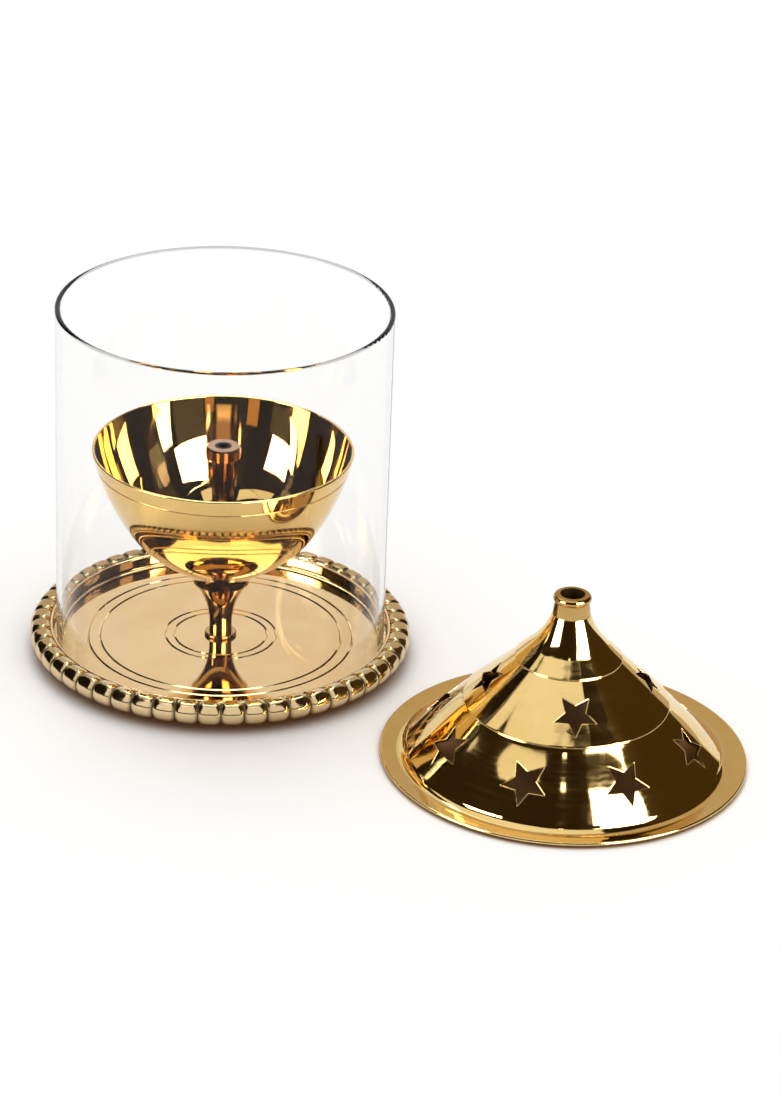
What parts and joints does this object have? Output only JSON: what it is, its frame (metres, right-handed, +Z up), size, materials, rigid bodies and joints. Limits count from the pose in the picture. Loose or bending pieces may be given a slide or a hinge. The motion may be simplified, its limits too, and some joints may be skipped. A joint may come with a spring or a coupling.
{
  "type": "akhand diya oil lamp",
  "caption": "Brass oil lamp with a deep bowl on a stem and dish, an upright wick holder, a glass chimney and a conical lid pierced with stars.",
  "frame": {"origin": "centre of the dish's foot ring, on the table, on the lamp's axis", "axes": "+Z up along the lamp's axis, +X to the right of the picture's view, +Y away from the viewer"},
  "size_m": [0.2149, 0.1736, 0.1115],
  "materials": {
    "polished_brass": "mirror-polished turned and spun brass",
    "cast_brass": "cast brass, polished on its crests and darker in its notches",
    "clear_glass": "clear drawn glass with a fire-polished edge",
    "screw_steel": "plain zinc-plated steel"
  },
  "bodies": {
    "lamp": {"base_plate": "polished_brass", "gadroon_rim": "cast_brass", "base_screw": "screw_steel", "base_washer": "screw_steel", "stem": "polished_brass", "bowl": "polished_brass"},
    "wick_holder": {"wick_foot": "polished_brass", "wick_tube": "polished_brass", "wick_collar": "polished_brass"},
    "glass": {"glass_chimney": "clear_glass"},
    "lid": {"lid_cone": "polished_brass", "lid_neck": "polished_brass"}
  },
  "joints": [
    {"name": "glass_lift", "type": "slide", "parent": "lamp", "child": "glass", "axis": [0, 0, 1], "range_m": [0, 0.115]},
    {"name": "wick_lift", "type": "slide", "parent": "lamp", "child": "wick_holder", "axis": [0, 0, 1], "range_m": [0, 0.06]},
    {"name": "lid_lift", "type": "slide", "parent": "lamp", "child": "lid", "axis": [0, 0, 1], "range_m": [0, 0.16]}
  ]
}
